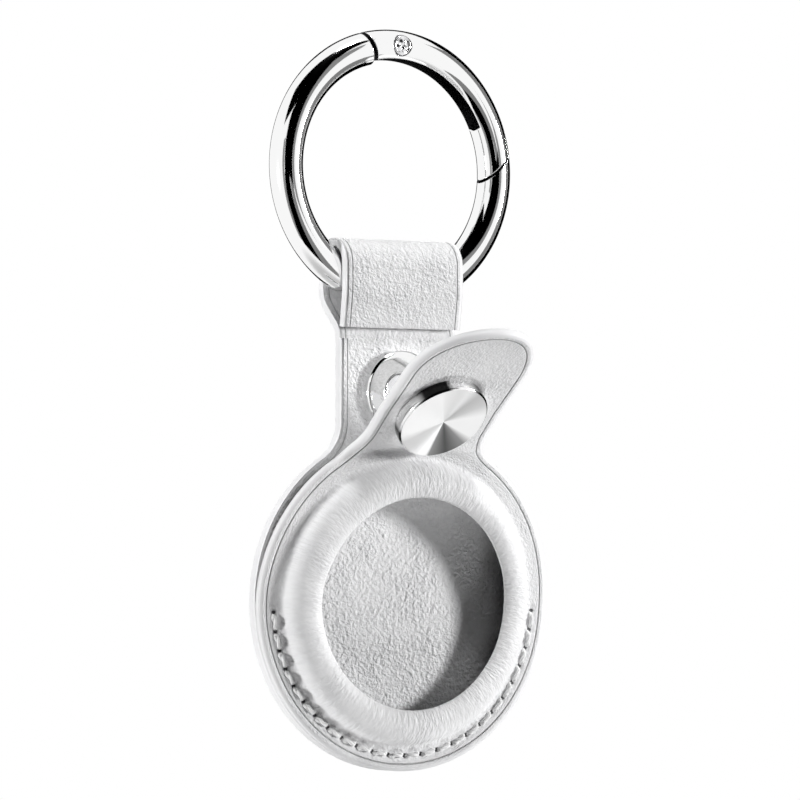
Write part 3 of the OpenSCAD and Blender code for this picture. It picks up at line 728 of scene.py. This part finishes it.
for way in (-1, 1):
    bpy.ops.object.select_all(action="DESELECT")
    bpy.ops.mesh.primitive_cylinder_add(vertices=16, radius=0.15 * MM, depth=4.2 * MM,
                                        location=(way * 2.3 * MM, -2.5 * MM, SOCKET_Z * MM))
    bpy.ops.object.transform_apply(location=True)
    finish_modifier(bpy.context.object, "BEVEL", width=0.04 * MM, segments=2, limit_method="ANGLE")
    bpy.ops.object.shade_smooth_by_angle(angle=radians(40))
    wires.append(bpy.context.object)
for wire in wires:
    wire.select_set(True)
bpy.context.view_layer.objects.active = wires[0]
bpy.ops.object.join()
wires = bpy.context.object
wires.name = wires.data.name = "socket_wires"
wires.data.materials.append(plate)
for piece, solid, slot in ((socket, "snap_socket", "chrome"), (rivet, "socket_rivet", "steel"),
                           (wires, "socket_springs", "steel")):
    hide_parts(solid)
    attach(piece, "pouch")


# Gate ring: a round chromed ring in two pieces. The fixed piece has a heel and a thin outer lip, and the
# sprung gate is pinned near the top, hollowed on its inner side, and stops against the lip.
RING_R = 15.4
WIRE_R = 2.1
PIN = Vector((0.4031, 0, 15.3947))
PIN_ANGLE = radians(88.5)
HEEL_TURN = radians(24)
LIP_R = 16.3
HEEL_GAP = 0.6
NOSE_GAP = 0.3
LIP_GAP = 0.26
CHANNEL_REACH = 15.5
CHANNEL_W = 2.6


def round_bar(name):
    """The whole ring before it is parted."""
    bpy.ops.object.select_all(action="DESELECT")
    bpy.ops.mesh.primitive_torus_add(major_radius=RING_R * MM, minor_radius=WIRE_R * MM, major_segments=288,
                                     minor_segments=64, rotation=(pi / 2, 0, 0))
    bar = bpy.context.object
    bpy.ops.object.transform_apply(rotation=True)
    bar.name = bar.data.name = name
    return bar


def disc(centre, radius, depth=20.0, sides=256, middle=0.0):
    """A cutter: a cylinder along Y."""
    bpy.ops.object.select_all(action="DESELECT")
    bpy.ops.mesh.primitive_cylinder_add(vertices=sides, radius=radius * MM, depth=depth * MM, rotation=(pi / 2, 0, 0),
                                        location=(centre[0] * MM, middle * MM, centre[2] * MM))
    bpy.ops.object.transform_apply(location=True, rotation=True)
    return bpy.context.object


def block(low, high, turn, about):
    """A cutter: a box turned about Y, with its corners given about a point."""
    bpy.ops.object.select_all(action="DESELECT")
    bpy.ops.mesh.primitive_cube_add(size=1)
    made = bpy.context.object
    size = Vector(high) - Vector(low)
    middle = (Vector(high) + Vector(low)) / 2
    made.data.transform(Matrix.Translation(Vector(about) * MM) @ Matrix.Rotation(-turn, 4, "Y")
                        @ Matrix.Translation(middle * MM) @ Matrix.Diagonal((*(size * MM), 1)))
    return made


def carve(piece, tool, how="DIFFERENCE"):
    """Cuts, joins or keeps what a tool covers, and throws the tool away."""
    finish_modifier(piece, "BOOLEAN", object=tool, operation=how, solver="EXACT")
    bpy.data.objects.remove(tool)
    return piece


def gate_space(heel=0.0, nose=0.0, lip=0.0):
    """The part of the ring that the gate fills, grown by a gap at its heel, its nose and the lip."""
    space = disc(PIN, 20.7 + nose)
    carve(space, block((-60, -15, -60), (-3.7 - heel, 15, 60), HEEL_TURN, PIN))
    cover = disc((0, 0, 0), 40, 18)
    carve(cover, disc((0, 0, 0), LIP_R + lip, 22))
    carve(cover, disc(PIN, 18.7 + nose, 22))
    return carve(space, cover)


gate = carve(round_bar("gate"), gate_space(), "INTERSECT")
channel = disc((0, 0, 0), 16.7, CHANNEL_W)
carve(gate, carve(channel, disc(PIN, CHANNEL_REACH, 22), "INTERSECT"))
carve(gate, disc(PIN, 1.34, 1.2, 64, -2.1))
body = carve(round_bar("ring"), gate_space(HEEL_GAP, NOSE_GAP, LIP_GAP))
tongue = disc((0, 0, 0), 16.6, 1.0, middle=-0.7)
carve(tongue, disc((0, 0, 0), 14.2, 3, middle=-0.7))
carve(tongue, block((-1.2, -3, 0), (1.2, 3, 5.5), PIN_ANGLE, PIN), "INTERSECT")
carve(tongue, disc(PIN, 1.2, 1.0, 64, -0.7), "UNION")
carve(body, tongue, "UNION")


def ring_chrome(name):
    """Polished chrome whose cut edges are softly rounded."""
    stuff = polished(name)
    tree = stuff.node_tree
    metal = [n for n in tree.nodes if n.type == "BSDF_PRINCIPLED"][0]
    wave = [n for n in tree.nodes if n.type == "BUMP"][0]
    soft = node(tree, "Bevel", {"Radius": 0.00014}, samples=6)
    tree.links.new(soft.outputs[0], wave.inputs["Normal"])
    return stuff


chromed = ring_chrome("ring chrome")
# The cut faces in the gaps and in the gate's channel are coloured near-black: painted shade where the gaps are shaded.
gap_shade_metal = polished("cut faces in painted shade", (0.1, 0.1, 0.105), 0.3, 0.15)
for piece, solid, owner in ((gate, "ring_gate", "gate"), (body, "ring_body", "ring")):
    only(piece)
    bpy.ops.object.shade_smooth_by_angle(angle=radians(30))
    piece.name = piece.data.name = solid + "_chrome"
    piece.data.materials.clear()
    piece.data.materials.append(chromed)
    piece.data.materials.append(gap_shade_metal)
    for face in piece.data.polygons:
        x, y, z = face.center / MM
        deep = hypot(hypot(x, z) - RING_R, y) < WIRE_R - 0.04
        end_wall = abs(hypot(x - PIN.x, z - PIN.z) - CHANNEL_REACH) < 0.03 and abs(y) < CHANNEL_W / 2
        if deep and not end_wall:
            face.material_index = 1
    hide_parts(solid)
    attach(piece, owner)

to_front = Matrix.Translation(Vector((PIN.x, 0, PIN.z)) * MM) @ Matrix.Rotation(pi / 2, 4, "X")
pin = put(turned("pin_rivet", rounded([
    (0, -2.0), (0.6, -2.0), (0.6, 1.55), (1.2, 1.55), (1.25, 1.98), (1.18, 2.09), (1.02, 2.1), (0.92, 2.0),
    (0.84, 1.94), (0.45, 2.03), (0, 1.86)], 0.05, 3), 64), to_front)
for point in pin.data.vertices:
    x, z = point.co.x / MM - PIN.x, point.co.z / MM - PIN.z
    if point.co.y < -1.8 * MM and hypot(x, z) < 0.9:
        point.co.y += 0.07 * MM * sin(3 * atan2(z, x) + 0.6) * sin(hypot(x, z) / 0.9 * pi)
pin.data.materials.append(polished("pin plate", (0.8, 0.8, 0.81), 0.05, 0.05))
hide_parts("gate_pin")
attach(pin, "ring")

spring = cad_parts["gate_spring"]
spring.data.materials.clear()
spring.data.materials.append(polished("spring steel", (0.55, 0.55, 0.56), 0.22, 0.1))


# Studio: a pale floor far below the hanging piece and a plain white surround that only the camera and
# reflections see. Four lamps light the front and two the back. Dark cards give the chrome its bands.
FLOOR_Z = -1.0
LAMPS = (("key lamp", 57, 8, 0.2, 7.0), ("upper lamp", 20, 74, 0.2, 3.6), ("lower lamp", 14, -72, 0.2, 2.4),
         ("side lamp", -89, 0, 0.14, 5.2), ("back lamp", 147, 24, 0.3, 4.0), ("back side lamp", 214, 4, 0.3, 1.3))
LAMP_AWAY = 0.8
UNREFLECTED = ("lower lamp", "back lamp", "back side lamp")


def only_seen(tree):
    """1 for rays from the camera and in reflections, and 0 for those that light a matt surface."""
    ray = node(tree, "LightPath").outputs
    return maths(tree, "MAXIMUM", maths(tree, "MAXIMUM", ray["Is Camera Ray"], ray["Is Glossy Ray"]),
                 ray["Is Transmission Ray"])


bpy.ops.object.select_all(action="DESELECT")
bpy.ops.mesh.primitive_circle_add(vertices=96, radius=0.9, fill_type="NGON", location=(0, 0, FLOOR_Z))
floor = bpy.context.object
floor.name = "floor"
pale = material("pale floor")
tree = pale.node_tree
place = node(tree, "SeparateXYZ", {0: node(tree, "TexCoord").outputs["Object"]})
out_from = maths(tree, "SQRT", maths(
    tree, "ADD", maths(tree, "MULTIPLY", place.outputs["X"], place.outputs["X"]),
    maths(tree, "MULTIPLY", place.outputs["Y"], place.outputs["Y"])))
matt = node(tree, "BsdfDiffuse", {"Color": (0.86, 0.86, 0.86, 1)})
glow = node(tree, "Emission", {"Color": (1, 1, 1, 1), "Strength": only_seen(tree)})
fade = node(tree, "MixShader", {0: between(tree, out_from, 0.3, 0.85), 1: matt.outputs[0], 2: glow.outputs[0]})
out = node(tree, "OutputMaterial")
tree.links.new(fade.outputs[0], out.inputs["Surface"])
floor.data.materials.append(pale)

world = bpy.data.worlds.new("studio")
bpy.context.scene.world = world
world.use_nodes = True
tree = world.node_tree
tree.nodes.clear()
strength = maths(tree, "ADD", 0.04, maths(tree, "MULTIPLY", only_seen(tree), 0.96))
sky = node(tree, "Background", {"Color": (1, 1, 1, 1), "Strength": strength})
out = node(tree, "OutputWorld")
tree.links.new(sky.outputs[0], out.inputs["Surface"])


def from_front(turn, up):
    """A direction from the piece: turn degrees right of straight in front, up degrees above."""
    return Vector((sin(radians(turn)) * cos(radians(up)), -cos(radians(turn)) * cos(radians(up)), sin(radians(up))))


for name, turn, up, size, power in LAMPS:
    towards = from_front(turn, up)
    bpy.ops.object.light_add(type="AREA", location=Vector((0, 0, -0.045)) + towards * LAMP_AWAY,
                             rotation=(-towards).to_track_quat("-Z", "Y").to_euler())
    lamp = bpy.context.object
    lamp.name = name
    lamp.data.shape = "DISK"
    lamp.data.size = size
    lamp.data.energy = power
    lamp.visible_camera = lamp.visible_glossy = name not in UNREFLECTED


def card(name, turn, up, wide, high, level=0.0):
    """A card that only the chrome sees, turn degrees to the right of the camera's line and up degrees above,
    wide and high in degrees, black or grey."""
    way = from_front(turn + degrees(LOOK_FROM), up)
    bpy.ops.object.select_all(action="DESELECT")
    bpy.ops.mesh.primitive_plane_add(size=1, location=way * 0.5, rotation=(-way).to_track_quat("-Z", "Y").to_euler())
    made = bpy.context.object
    made.scale = (tan(radians(wide / 2)), tan(radians(high / 2)), 1)
    made.name = name
    made.visible_camera = made.visible_diffuse = made.visible_shadow = made.visible_transmission = False
    stuff = material(name)
    shade = node(stuff.node_tree, "Emission", {"Color": (1, 1, 1, 1), "Strength": level})
    end = node(stuff.node_tree, "OutputMaterial")
    stuff.node_tree.links.new(shade.outputs[0], end.inputs["Surface"])
    made.data.materials.append(stuff)


card("lower front card", 5, -23, 34, 46)
card("upper front card", 17, 19, 54, 38)
card("top card", -2, 56, 76, 40)
card("grey card", 31, -23, 18, 46, 0.22)
card("upper grey card", 51, 18, 14, 38, 0.25)
card("left grey card", -18, -12, 12, 60, 0.25)
card("right grey card", 104, 0, 28, 80, 0.22)
card("right card", 146, 0, 54, 90)
card("back card", 184, 0, 50, 90)
card("cap card", 122.6, -57, 40, 40, 1.15)
